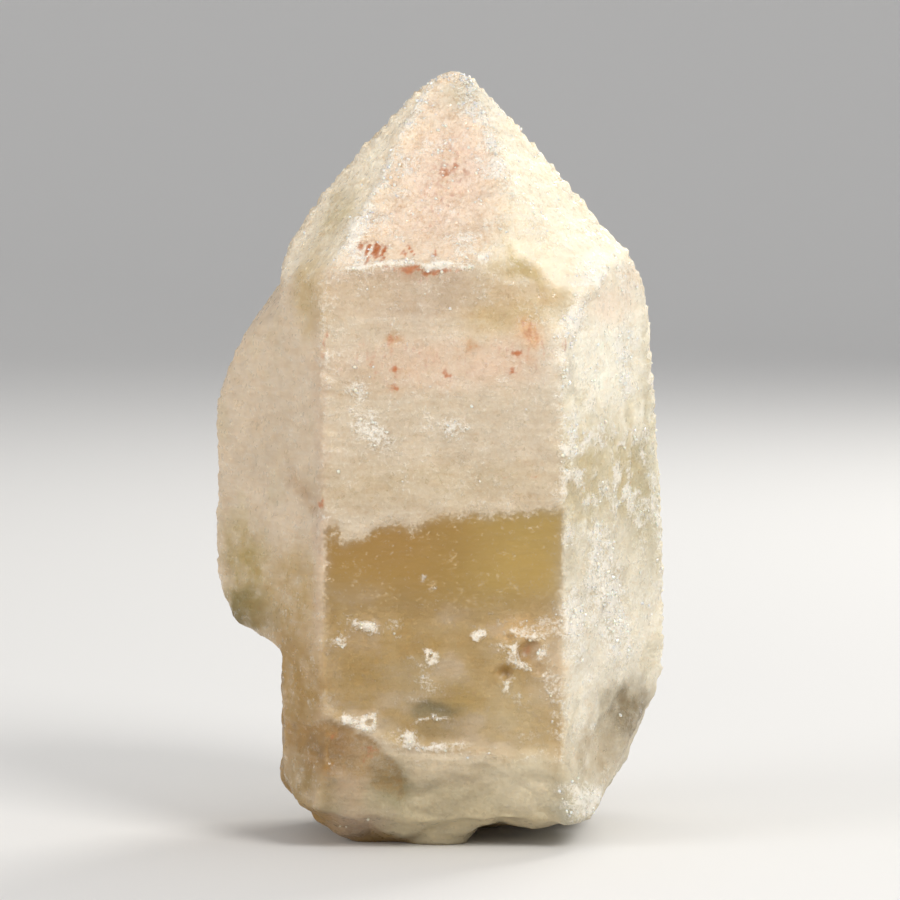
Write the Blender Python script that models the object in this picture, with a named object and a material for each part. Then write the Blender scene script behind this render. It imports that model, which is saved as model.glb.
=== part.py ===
"""A stocky single quartz crystal, standing on its broken base, in metres with +Z up the crystal's long axis.

The body is a six-sided prism with a six-sided point. Each natural face and each large break is one plane
that cuts a plain block. A shoulder grown onto the left side is cut the same way and joined to the body.
The rough break underneath is a height field that touches the ground on four small flats."""

import math

import bmesh
import bpy
from mathutils import Vector, noise

MM = 0.001

# Driving dimensions, in millimetres. Faces look outward: turn is the heading of a face's normal, from the
# front (-Y) towards the right (+X), and a face's slope is how far it falls for each millimetre outward.
TIP_X = 1.2
TIP_Y = -1.8
TIP_LEVEL = 76.4
FRONT_FACE_Y = -16.6
BACK_FACE_Y = 16.6
FRONT_EDGE_LEFT_X = -11.2
FRONT_EDGE_RIGHT_X = 12.1
RIGHT_EDGE_X = 23.0
RIGHT_EDGE_Y = 0.4
LEFT_LIMIT_X = -15.8
LEFT_LIMIT_Y = 9.4
SHOULDER_EDGE_X = -22.9
SHOULDER_EDGE_Y = 2.6
SHOULDER_STEP_IN = 0.4
SHOULDER_BACK_Y = 11.5
SHOULDER_ROOT_X = -12.6
BLOCK_HALF_WIDTH = 40.0
BLOCK_BELOW = 6.0
BLOCK_ABOVE = 90.0
EDGE_ROUNDING = 0.7

# The point: each face's turn in degrees, its slope, and its level right over the tip
POINT_FACES = (
    (-3.0, 1.27, 76.3),
    (52.0, 1.30, 78.2),
    (117.0, 1.42, 78.4),
    (180.0, 1.28, 77.4),
    (-108.0, 1.08, 77.8),
    (-62.0, 1.22, 78.0),
)

# Small steep faces on the body: turn, slope, and a point (x, y, z) that the face passes through
STEEP_FACES = (
    (88.0, 2.5, (19.0, 0.0, 58.0)),
    (86.0, 17.0, (22.7, 0.0, 25.0)),
    (-92.0, 1.6, (-12.0, 0.0, 63.7)),
    (-90.0, 3.0, (-15.8, 0.0, 57.4)),
    (24.0, 2.3, (7.6, -15.0, 57.4)),
    (-30.0, 2.6, (-10.4, -15.6, 57.6)),
    (86.0, 0.62, (2.9, 0.0, 76.1)),
    (-86.0, 0.62, (0.2, 0.0, 76.1)),
)

# Breaks on the lower body: the outward direction and a point on the break
BREAKS = (
    ((-1.0, 0.0, -0.03), (LEFT_LIMIT_X, 0.0, 12.0)),
    ((0.89, -0.12, -0.43), (22.1, 0.0, 15.0)),
    ((0.80, -0.05, -0.60), (17.6, 0.0, 5.3)),
    ((-0.89, -0.06, -0.45), (-15.9, 0.0, 6.4)),
    ((-0.62, -0.10, -0.77), (-14.4, 0.0, 3.4)),
    ((0.03, -0.94, -0.34), (0.0, -16.6, 8.6)),
    ((0.0, 0.93, -0.37), (0.0, 16.6, 11.0)),
    ((-0.58, 0.64, -0.50), (-12.0, 12.0, 9.0)),
)

# The shoulder's own top and its broken underside, as direction and point
SHOULDER_TOP = (
    (-76.0, 1.5, (-17.0, 0.0, 53.6)),
    (-118.0, 1.5, (-17.0, 0.0, 53.6)),
    (-90.0, 3.2, (-21.1, 0.0, 47.6)),
)
SHOULDER_UNDERSIDE = (
    ((-0.88, 0.0, -0.47), (-22.2, 0.0, 24.2)),
    ((-0.34, -0.05, -0.93), (-19.0, 0.0, 20.6)),
)

# The broken base: a rough height field, pressed below ground level at four feet (x, y, radius)
BASE_HALF_WIDTH = 27.0
BASE_CELLS = 30
BASE_LOWEST = 0.7
BASE_BULGE = 0.0085
BASE_ROUGHNESS = ((7.0, 0.9), (2.8, 0.35))
BASE_NOISE_LAYER = 3.7
BASE_FEET = (
    (-7.6, -6.0, 3.6),
    (0.2, -8.4, 3.4),
    (5.4, 8.2, 3.8),
    (-7.0, 8.6, 3.8),
)
FOOT_PRESS = 3.2
BASE_THICKNESS = 14.0

QUARTZ_COLOUR = (0.66, 0.54, 0.39, 1.0)
QUARTZ_ROUGHNESS = 0.55


def clear_scene():
    """Removes every object, so that only the crystal is left."""
    for obj in list(bpy.data.objects):
        bpy.data.objects.remove(obj, do_unlink=True)


def sloping_normal(turn, slope):
    """The outward unit normal of a face that looks towards turn and falls by slope; None is upright."""
    heading = math.radians(turn)
    rise = 0.0 if slope is None else 1.0 / slope
    return Vector((math.sin(heading), -math.cos(heading), rise)).normalized()


def prism_faces():
    """The body's six upright faces as (normal, point): front, back and four at 60 degrees between them."""
    front_left = (FRONT_EDGE_LEFT_X, FRONT_FACE_Y, 0.0)
    front_right = (FRONT_EDGE_RIGHT_X, FRONT_FACE_Y, 0.0)
    return [
        (sloping_normal(0.0, None), front_left),
        (sloping_normal(60.0, None), front_right),
        (sloping_normal(120.0, None), (RIGHT_EDGE_X, RIGHT_EDGE_Y, 0.0)),
        (sloping_normal(180.0, None), (0.0, BACK_FACE_Y, 0.0)),
        (sloping_normal(-120.0, None), (LEFT_LIMIT_X, LEFT_LIMIT_Y, 0.0)),
        (sloping_normal(-60.0, None), front_left),
    ]


def cut_block(name, planes):
    """A closed convex solid: a plain block with everything outside each (normal, point) plane cut away."""
    mesh = bpy.data.meshes.new(name)
    form = bmesh.new()
    bmesh.ops.create_cube(form, size=1.0)
    tall = BLOCK_ABOVE + BLOCK_BELOW
    bmesh.ops.scale(form, vec=(2.0 * BLOCK_HALF_WIDTH, 2.0 * BLOCK_HALF_WIDTH, tall), verts=form.verts)
    bmesh.ops.translate(form, vec=(0.0, 0.0, tall / 2.0 - BLOCK_BELOW), verts=form.verts)
    for normal, point in planes:
        everything = form.verts[:] + form.edges[:] + form.faces[:]
        cut = bmesh.ops.bisect_plane(
            form, geom=everything, dist=1e-4, plane_co=point, plane_no=normal, clear_outer=True
        )
        rim = [item for item in cut["geom_cut"] if isinstance(item, bmesh.types.BMEdge)]
        if rim:
            bmesh.ops.contextual_create(form, geom=rim)
    bmesh.ops.scale(form, vec=(MM, MM, MM), verts=form.verts)
    bmesh.ops.recalc_face_normals(form, faces=form.faces)
    form.to_mesh(mesh)
    form.free()
    solid = bpy.data.objects.new(name, mesh)
    bpy.context.scene.collection.objects.link(solid)
    return solid


def soften_edges(solid):
    """Rounds the sharp edges between the faces, as on a crystal with a frosted skin."""
    bevel = solid.modifiers.new("Soft edges", "BEVEL")
    bevel.width = EDGE_ROUNDING * MM
    bevel.segments = 2
    bevel.limit_method = "ANGLE"
    bevel.angle_limit = math.radians(12.0)
    bevel.use_clamp_overlap = True


def join_or_cut(solid, tool, operation):
    """Adds a Boolean with the tool, which stays in the file as a hidden helper."""
    boolean = solid.modifiers.new(tool.name, "BOOLEAN")
    boolean.operation = operation
    boolean.solver = "EXACT"
    boolean.object = tool
    tool.hide_render = True
    tool.display_type = "WIRE"


def body_planes():
    """Every plane of the main body."""
    point_faces = [
        (sloping_normal(turn, slope), (TIP_X, TIP_Y, level)) for turn, slope, level in POINT_FACES
    ]
    steep_faces = [(sloping_normal(turn, slope), point) for turn, slope, point in STEEP_FACES]
    breaks = [(Vector(direction).normalized(), point) for direction, point in BREAKS]
    blunt_tip = [(Vector((0.0, 0.0, 1.0)), (TIP_X, TIP_Y, TIP_LEVEL))]
    return prism_faces() + point_faces + steep_faces + breaks + blunt_tip


def shoulder_planes():
    """Every plane of the shoulder: upright faces parallel to the body's, its own top, a broken underside."""
    left_front = sloping_normal(-60.0, None)
    on_front = Vector((FRONT_EDGE_LEFT_X, FRONT_FACE_Y, 0.0)) - SHOULDER_STEP_IN * left_front
    upright = [
        (left_front, on_front),
        (sloping_normal(-120.0, None), (SHOULDER_EDGE_X, SHOULDER_EDGE_Y, 0.0)),
        (sloping_normal(180.0, None), (0.0, SHOULDER_BACK_Y, 0.0)),
        (sloping_normal(90.0, None), (SHOULDER_ROOT_X, 0.0, 0.0)),
    ]
    top = [(sloping_normal(turn, slope), point) for turn, slope, point in SHOULDER_TOP]
    underside = [(Vector(direction).normalized(), point) for direction, point in SHOULDER_UNDERSIDE]
    return upright + top + underside


def base_height(x, y):
    """The broken base's height at (x, y) in millimetres: it rises outward as a shallow bowl does, with two
    sizes of roughness and a dip at each foot."""
    height = BASE_LOWEST + BASE_BULGE * (x * x + y * y)
    for size, depth in BASE_ROUGHNESS:
        height += depth * noise.noise(Vector((x / size, y / size, BASE_NOISE_LAYER)))
    for foot_x, foot_y, radius in BASE_FEET:
        away = ((x - foot_x) ** 2 + (y - foot_y) ** 2) / radius**2
        height -= FOOT_PRESS * math.exp(-away)
    return max(height, 0.0)


def base_cutter():
    """A closed slab whose top is the broken base's height field."""
    mesh = bpy.data.meshes.new("base_break")
    form = bmesh.new()
    bmesh.ops.create_grid(
        form, x_segments=BASE_CELLS, y_segments=BASE_CELLS, size=BASE_HALF_WIDTH
    )
    below = bmesh.ops.extrude_face_region(form, geom=form.faces[:])
    raised = [item for item in below["geom"] if isinstance(item, bmesh.types.BMVert)]
    for corner in form.verts:
        corner.co.z = -BASE_THICKNESS
    for corner in raised:
        corner.co.z = base_height(corner.co.x, corner.co.y)
    bmesh.ops.scale(form, vec=(MM, MM, MM), verts=form.verts)
    bmesh.ops.recalc_face_normals(form, faces=form.faces)
    form.to_mesh(mesh)
    form.free()
    slab = bpy.data.objects.new("base_break", mesh)
    bpy.context.scene.collection.objects.link(slab)
    return slab


def quartz_material():
    """Frosted, faintly yellow quartz."""
    material = bpy.data.materials.new("frosted_quartz")
    material.use_nodes = True
    shader = material.node_tree.nodes["Principled BSDF"]
    shader.inputs["Base Color"].default_value = QUARTZ_COLOUR
    shader.inputs["Roughness"].default_value = QUARTZ_ROUGHNESS
    shader.inputs["Metallic"].default_value = 0.0
    return material


def centre_on_axis(solid):
    """Moves the crystal sideways in its mesh, so that the middle of its box stands on the Z axis."""
    depsgraph = bpy.context.evaluated_depsgraph_get()
    finished = bpy.data.meshes.new_from_object(solid.evaluated_get(depsgraph), depsgraph=depsgraph)
    solid.modifiers.clear()
    solid.data = finished
    xs = [corner.co.x for corner in finished.vertices]
    ys = [corner.co.y for corner in finished.vertices]
    middle = Vector(((min(xs) + max(xs)) / 2.0, (min(ys) + max(ys)) / 2.0, 0.0))
    for corner in finished.vertices:
        corner.co -= middle


def main():
    clear_scene()
    crystal = cut_block("quartz_crystal", body_planes())
    soften_edges(crystal)
    shoulder = cut_block("shoulder_growth", shoulder_planes())
    soften_edges(shoulder)
    join_or_cut(crystal, shoulder, "UNION")
    join_or_cut(crystal, base_cutter(), "DIFFERENCE")
    bpy.context.view_layer.update()
    centre_on_axis(crystal)
    crystal.data.materials.clear()
    crystal.data.materials.append(quartz_material())


main()
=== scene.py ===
import math

import bpy
import mathutils
import numpy as np
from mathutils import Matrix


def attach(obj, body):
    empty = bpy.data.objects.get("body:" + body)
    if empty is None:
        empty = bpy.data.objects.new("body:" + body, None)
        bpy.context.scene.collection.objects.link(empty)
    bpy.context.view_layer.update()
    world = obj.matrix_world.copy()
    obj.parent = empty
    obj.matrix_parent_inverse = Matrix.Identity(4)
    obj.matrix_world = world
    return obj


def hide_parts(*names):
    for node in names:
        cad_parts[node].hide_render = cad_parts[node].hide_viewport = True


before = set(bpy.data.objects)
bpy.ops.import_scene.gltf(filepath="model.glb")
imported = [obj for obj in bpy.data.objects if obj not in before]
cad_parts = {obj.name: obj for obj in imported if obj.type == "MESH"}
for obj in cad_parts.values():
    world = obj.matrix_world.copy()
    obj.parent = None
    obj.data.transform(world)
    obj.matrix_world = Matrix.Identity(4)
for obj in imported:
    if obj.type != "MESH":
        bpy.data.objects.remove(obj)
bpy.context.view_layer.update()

# The crystal: one stocky quartz point, grown as a six-sided prism with a six-sided tip and a lower shoulder
# grown onto its left side. Its flat faces met at sharp edges and were then etched and frosted. The lower end
# is where it broke off its rock, so the faces there are rough breaks. Sizes are in millimetres.
MM = 0.001
FRONT_FACE_Y = -16.6
BACK_FACE_Y = 16.6
FRONT_EDGE_LEFT_X = -11.2
FRONT_EDGE_RIGHT_X = 12.1
RIGHT_EDGE_X = 23.0
RIGHT_EDGE_Y = 0.4
LEFT_LIMIT_X = -15.8
LEFT_LIMIT_Y = 9.4
SHOULDER_EDGE_X = -22.9
SHOULDER_EDGE_Y = 2.6
SHOULDER_BACK_Y = 11.5
SHOULDER_ROOT_X = -12.6
TIP_X = 1.2
TIP_Y = -1.8
TIP_LEVEL = 76.4


def facing(turn, slope=np.inf):
    """The outward unit normal of a face that looks towards turn, in degrees from the front to the right, and
    falls by slope for each millimetre outward: (sin turn, -cos turn, 1 / slope), at length 1."""
    heading = np.radians(turn)
    normal = np.array([np.sin(heading), -np.cos(heading), 1.0 / slope])
    return normal / np.linalg.norm(normal)


# Each face as its outward normal and a point on it
PRISM_FACES = {
    "front": (facing(0.0), (FRONT_EDGE_LEFT_X, FRONT_FACE_Y, 0.0)),
    "right_front": (facing(60.0), (FRONT_EDGE_RIGHT_X, FRONT_FACE_Y, 0.0)),
    "right_back": (facing(120.0), (RIGHT_EDGE_X, RIGHT_EDGE_Y, 0.0)),
    "back": (facing(180.0), (0.0, BACK_FACE_Y, 0.0)),
    "left_back": (facing(-120.0), (LEFT_LIMIT_X, LEFT_LIMIT_Y, 0.0)),
    "left_front": (facing(-60.0), (FRONT_EDGE_LEFT_X, FRONT_FACE_Y, 0.0)),
}
TIP_FACES = {
    "tip_front": (facing(-3.0, 1.27), (TIP_X, TIP_Y, 76.3)),
    "tip_right_front": (facing(52.0, 1.3), (TIP_X, TIP_Y, 77.8)),
    "tip_right_back": (facing(117.0, 1.34), (TIP_X, TIP_Y, 77.5)),
    "tip_back": (facing(180.0, 1.28), (TIP_X, TIP_Y, 77.4)),
    "tip_left_back": (facing(-108.0, 1.08), (TIP_X, TIP_Y, 77.3)),
    "tip_left_front": (facing(-62.0, 1.22), (TIP_X, TIP_Y, 77.6)),
}
STEEP_FACES = {
    "steep_right": (facing(88.0, 2.5), (19.35, 0.0, 58.0)),
    "taper_right": (facing(86.0, 15.5), (22.5, 0.0, 25.0)),
    "steep_left": (facing(-92.0, 1.6), (-11.6, 0.0, 63.7)),
    "steeper_left": (facing(-90.0, 3.0), (-15.4, 0.0, 57.4)),
    "step_right": (facing(24.0, 2.3), (7.6, -15.0, 57.4)),
    "step_left": (facing(-30.0, 2.6), (-10.4, -15.6, 57.6)),
    "cap_right": (facing(86.0, 0.62), (2.9, 0.0, 76.35)),
    "cap_left": (facing(-86.0, 0.62), (0.2, 0.0, 76.3)),
    "cap": (np.array([0.0, 0.0, 1.0]), (TIP_X, TIP_Y, TIP_LEVEL + 0.2)),
}
BREAKS = {
    "break_neck": ((-1.0, 0.0, 0.0), (-15.55, 0.0, 12.0)),
    "break_right": ((0.89, -0.12, -0.43), (22.1, 0.0, 15.0)),
    "break_low_right": ((0.8, -0.05, -0.6), (17.3, 0.0, 5.3)),
    "break_left": ((-0.89, -0.06, -0.45), (-15.7, 0.0, 6.4)),
    "break_low_left": ((-0.62, -0.1, -0.77), (-14.0, 0.0, 3.4)),
    "break_front": ((0.03, -0.94, -0.34), (0.0, -16.6, 8.6)),
    "break_back": ((0.0, 0.93, -0.37), (0.0, 16.6, 11.0)),
    "break_back_left": ((-0.58, 0.64, -0.5), (-12.0, 12.0, 9.0)),
}
SHOULDER_FACES = {
    "shoulder_front": (facing(-60.0), (FRONT_EDGE_LEFT_X, FRONT_FACE_Y, 0.0)),
    "shoulder_back": (facing(-120.0), (SHOULDER_EDGE_X, SHOULDER_EDGE_Y, 0.0)),
    "shoulder_rear": (facing(180.0), (0.0, SHOULDER_BACK_Y, 0.0)),
    "shoulder_root": (facing(90.0), (SHOULDER_ROOT_X, 0.0, 0.0)),
    "shoulder_top_front": (facing(-76.0, 1.5), (-17.0, 0.0, 53.6)),
    "shoulder_top_back": (facing(-118.0, 1.5), (-17.0, 0.0, 53.6)),
    "shoulder_top_left": (facing(-90.0, 3.2), (-21.1, 0.0, 47.6)),
    "shoulder_corner": ((-0.88, 0.0, -0.47), (-22.2, 0.0, 24.2)),
    "shoulder_under": ((-0.34, -0.05, -0.93), (-19.0, 0.0, 20.35)),
}
BODY_FACES = {**PRISM_FACES, **TIP_FACES, **STEEP_FACES, **BREAKS}
EDGE_RADIUS = 0.2
TIP_RADIUS = 0.55
TIP_LIFT = 0.2
ROUNDER_FROM = 66.0
ROUNDER_OVER = 10.0
JOIN_RADIUS = 0.03
NOTCH_RADIUS = 0.6
NOTCH_LEVEL = 20.0
NOTCH_HALF_HEIGHT = 5.0

# The broken base: a shallow bowl, rough at two sizes, that dips to the ground at four feet and hangs low at
# the right front. Each dip as (x, y, radius, depth).
BASE_LOWEST = 0.7
BASE_BULGE = 0.0085
BASE_ROUGHNESS = ((7.0, 0.9), (2.8, 0.35))
BASE_DIPS = (
    (-7.6, -6.0, 3.6, 3.2), (0.2, -8.4, 3.4, 3.2), (5.4, 8.2, 3.8, 3.2), (-7.0, 8.6, 3.8, 3.2),
    (11.8, -13.6, 3.6, 1.1),
)
BASE_EDGE_RADIUS = 0.15

# The surface is laid on a net of rays from a spine inside the crystal, towards the points of a guide profile
# of (distance from the axis, height)
NET_COLUMNS = 318
NET_ROWS = 308
SPINE_BOTTOM = np.array([0.0, 0.0, 16.0])
SPINE_TOP = np.array([0.8, -0.8, 50.0])
GUIDE_PROFILE = ((0.0, 0.0), (14.0, 0.6), (17.5, 9.0), (17.8, 54.0), (4.0, 74.0), (0.0, 76.4))
GUIDE_HALF_WIDTH = 21.0
GUIDE_HALF_DEPTH = 17.0
FRONT_CROWDING = 0.22
RAY_REACH = 42.0
HALVINGS = 26
SLOPE_REACH = 0.02


def bell(distance, half_width):
    """One at no distance, falling away on both sides: exp(-(distance / half width)^2)."""
    return np.exp(-((distance / half_width) ** 2))


def soft_max(levels, radius):
    """The largest of the levels along the last axis with rounded crossings: radius times the logarithm of
    the sum of exp(level / radius)."""
    highest = levels.max(axis=-1, keepdims=True)
    total = np.exp((levels - highest) / radius[..., None]).sum(axis=-1)
    return highest[..., 0] + radius * np.log(total)


def levels_of(points, faces):
    """How far each point stands outside each face, in millimetres: the dot product of the face's unit normal
    with the vector from the face's point."""
    normals = np.array([np.asarray(normal, float) / np.linalg.norm(normal) for normal, _ in faces.values()])
    offsets = (normals * np.array([point for _, point in faces.values()], float)).sum(axis=1)
    return points @ normals.T - offsets


def scatter(cells, seed):
    """A repeatable number from -1 to 1 for each cell of whole numbers: the three indices and the seed times
    large primes, mixed by shifts and cut to 24 bits."""
    primes = np.array([73856093, 19349663, 83492791], np.int64)
    mixed = ((cells.astype(np.int64) * primes).sum(axis=-1) + seed * 2654435761).astype(np.uint64)
    for shift in (15, 13, 16):
        mixed = (mixed ^ (mixed >> np.uint64(shift))) * np.uint64(0x9E3779B97F4A7C15)
    return (mixed >> np.uint64(40)).astype(float) / float(1 << 23) - 1.0


def swell(points, size, seed):
    """Smooth noise from about -1 to 1 with lumps of the given size: random values on a cubic lattice,
    blended by t^3 (6 t^2 - 15 t + 10) along each axis."""
    scaled = points / size + 31.7 * seed
    cell = np.floor(scaled)
    inside = scaled - cell
    blend = inside**3 * (inside * (inside * 6.0 - 15.0) + 10.0)
    total = np.zeros(points.shape[:-1])
    for corner in np.ndindex(2, 2, 2):
        share = np.prod(np.where(np.array(corner) == 1, blend, 1.0 - blend), axis=-1)
        total += share * scatter(cell + corner, seed)
    return total


def rough(points, size, seed, octaves=3):
    """Noise at several sizes: each octave is half the size and half the height of the one before."""
    return sum(swell(points, size / 2**step, seed + step) / 2**step for step in range(octaves))


def base_height(points):
    """The broken base's level over each (x, y): a bowl that rises with the square of the distance from the
    axis, plus roughness, less the depth of each dip times exp(-d^2 / r^2), and never under the ground."""
    flat = points * (1.0, 1.0, 0.0)
    height = BASE_LOWEST + BASE_BULGE * (flat**2).sum(axis=-1)
    for seed, (size, depth) in enumerate(BASE_ROUGHNESS):
        height = height + depth * swell(flat, size, 41 + seed)
    for dip_x, dip_y, radius, depth in BASE_DIPS:
        away = ((points[..., 0] - dip_x) ** 2 + (points[..., 1] - dip_y) ** 2) / radius**2
        height = height - depth * np.exp(-away)
    return np.maximum(height, 0.0)


def crystal_level(points):
    """How far each point is outside the crystal, in millimetres, negative inside: the soft maximum of the
    body's faces, joined to the shoulder's by a soft minimum, and cut off below by the broken base. Part of
    the radius comes off, because the soft maximum stands above the faces, and the tip is lifted a little."""
    towards_tip = np.clip((points[..., 2] - ROUNDER_FROM) / ROUNDER_OVER, 0.0, 1.0)
    radius = EDGE_RADIUS + (TIP_RADIUS - EDGE_RADIUS) * towards_tip**2
    body = soft_max(levels_of(points, BODY_FACES), radius) - radius / 2.0 - TIP_LIFT * towards_tip
    even = np.full(body.shape, 2.0 * EDGE_RADIUS)
    shoulder = soft_max(levels_of(points, SHOULDER_FACES), even) - EDGE_RADIUS / 2.0
    in_notch = bell(points[..., 2] - NOTCH_LEVEL, NOTCH_HALF_HEIGHT)
    joining = JOIN_RADIUS + (NOTCH_RADIUS - JOIN_RADIUS) * in_notch
    both = -soft_max(np.stack([-body, -shoulder], axis=-1), joining)
    under = base_height(points) - points[..., 2]
    return soft_max(np.stack([both, under], axis=-1), np.full(both.shape, BASE_EDGE_RADIUS))


def even_steps(outline, count):
    """count points at equal steps of length along an outline of straight stretches, both ends included."""
    outline = np.asarray(outline, float)
    run = np.concatenate([[0.0], np.cumsum(np.linalg.norm(np.diff(outline, axis=0), axis=1))])
    places = np.linspace(0.0, run[-1], count)
    return np.stack([np.interp(places, run, outline[:, axis]) for axis in range(2)], axis=1)


def net_rays():
    """The net's rays as (starts, directions), rows by columns. A column is a heading around the spine, at
    equal steps of a guide ellipse's angle less a share of its sine, so closer at the front. A row is a point
    of the guide profile: the ray leaves the nearest point of the spine towards it."""
    turn = np.linspace(0.0, 2.0 * np.pi, NET_COLUMNS, endpoint=False)
    turn = turn - FRONT_CROWDING * np.sin(turn)
    across = np.stack([GUIDE_HALF_WIDTH * np.sin(turn), -GUIDE_HALF_DEPTH * np.cos(turn)], axis=1)
    across = across / np.linalg.norm(across, axis=1, keepdims=True)
    profile = even_steps(GUIDE_PROFILE, NET_ROWS)
    along = np.clip((profile[:, 1] - SPINE_BOTTOM[2]) / (SPINE_TOP[2] - SPINE_BOTTOM[2]), 0.0, 1.0)
    starts = SPINE_BOTTOM + along[:, None] * (SPINE_TOP - SPINE_BOTTOM)
    rise = profile[:, 1] - starts[:, 2]
    directions = np.concatenate(
        [
            profile[:, None, :1] * across[None],
            np.broadcast_to(rise[:, None, None], (NET_ROWS, NET_COLUMNS, 1)),
        ],
        axis=-1,
    )
    directions = directions / np.linalg.norm(directions, axis=-1, keepdims=True)
    return np.broadcast_to(starts[:, None, :], directions.shape), directions


def where_rays_leave(starts, directions):
    """The points where the rays leave the crystal, found by halving the stretch that holds the crossing."""
    inside = np.zeros(directions.shape[:-1])
    outside = np.full(inside.shape, RAY_REACH)
    for _ in range(HALVINGS):
        middle = (inside + outside) / 2.0
        beyond = crystal_level(starts + middle[..., None] * directions) > 0.0
        outside = np.where(beyond, middle, outside)
        inside = np.where(beyond, inside, middle)
    return starts + ((inside + outside) / 2.0)[..., None] * directions


def outward(points):
    """The unit normal at each point: the slope of crystal_level along each axis, by small differences."""
    slope = np.stack(
        [
            crystal_level(points + SLOPE_REACH * axis) - crystal_level(points - SLOPE_REACH * axis)
            for axis in np.eye(3)
        ],
        axis=-1,
    )
    return slope / np.linalg.norm(slope, axis=-1, keepdims=True)


def net_mesh(name, points):
    """A closed mesh over a net of points whose first and last rows are single points: quads between the rows
    and fans of triangles at the two ends."""
    rows, columns = points.shape[:2]
    inner = points[1:-1].reshape(-1, 3)
    places = np.concatenate([inner, points[0, :1], points[-1, :1]])
    index = np.arange((rows - 2) * columns).reshape(rows - 2, columns)
    after = np.roll(index, -1, axis=1)
    quads = np.stack([index[:-1], after[:-1], after[1:], index[1:]], axis=-1).reshape(-1, 4)
    bottom, top = len(inner), len(inner) + 1
    low_fan = np.stack([np.full(columns, bottom), after[0], index[0]], axis=-1)
    high_fan = np.stack([np.full(columns, top), index[-1], after[-1]], axis=-1)
    corners = np.concatenate([quads.ravel(), low_fan.ravel(), high_fan.ravel()])
    sizes = np.concatenate([np.full(len(quads), 4), np.full(2 * columns, 3)])
    mesh = bpy.data.meshes.new(name)
    mesh.vertices.add(len(places))
    mesh.vertices.foreach_set("co", (places * MM).astype(np.float32).ravel())
    mesh.loops.add(len(corners))
    mesh.loops.foreach_set("vertex_index", corners.astype(np.int32))
    mesh.polygons.add(len(sizes))
    mesh.polygons.foreach_set("loop_start", (np.cumsum(sizes) - sizes).astype(np.int32))
    mesh.update(calc_edges=True)
    mesh.validate()
    mesh.shade_smooth()
    return mesh


# Colours of bare and stained quartz (linear)
CREAM = (0.93, 0.84, 0.66)
PALE_CREAM = (0.97, 0.9, 0.73)
BEIGE = (0.74, 0.61, 0.43)
SHADED_BEIGE = (0.7, 0.56, 0.4)
BLUSH = (0.86, 0.66, 0.52)
HONEY = (0.62, 0.42, 0.17)
OCHRE = (0.5, 0.28, 0.06)
GOLD = (0.61, 0.405, 0.104)
MOTTLED_GOLD = (0.49, 0.325, 0.12)
HAZE = (0.53, 0.375, 0.175)
TAN = (0.39, 0.232, 0.062)
GREENISH = (0.52, 0.45, 0.29)
SUGAR_WHITE = (1.0, 0.94, 0.83)
DEEPER = (0.74, 0.58, 0.4)
UNDER_TINT = (0.93, 0.87, 0.74)
UNDER_SHADE = 0.92
UNDER_CLOUD = 0.95
RUST = (0.5, 0.155, 0.045)
PINKISH = (0.62, 0.48, 0.32)
AMBER = (0.44, 0.27, 0.075)
PITTED_TONE = (0.62, 0.45, 0.31)
ETCHED_TONE = (0.6, 0.51, 0.31)
BITTEN_TONE = (0.5, 0.4, 0.2)

# Every face's own tone, from front to back and from tip to foot
FACE_TONES = {
    "front": (0.63, 0.515, 0.37), "right_front": (0.9, 0.83, 0.67), "right_back": CREAM,
    "back": BEIGE, "left_back": SHADED_BEIGE, "left_front": SHADED_BEIGE,
    "tip_front": (0.9, 0.73, 0.55), "tip_right_front": (0.96, 0.87, 0.69),
    "tip_right_back": (0.97, 0.9, 0.7), "tip_back": CREAM, "tip_left_back": BEIGE,
    "tip_left_front": (0.96, 0.84, 0.65),
    "steep_right": PALE_CREAM, "taper_right": CREAM, "steep_left": BEIGE, "steeper_left": BEIGE,
    "step_right": (0.86, 0.75, 0.56), "step_left": (0.8, 0.66, 0.5),
    "cap_right": CREAM, "cap_left": BEIGE, "cap": GREENISH,
    "break_neck": TAN, "break_right": CREAM, "break_low_right": GREENISH, "break_left": TAN,
    "break_low_left": TAN, "break_front": (0.56, 0.475, 0.31), "break_back": (0.56, 0.43, 0.26),
    "break_back_left": (0.52, 0.4, 0.24),
}
TONE_BLEND = 0.22

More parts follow.
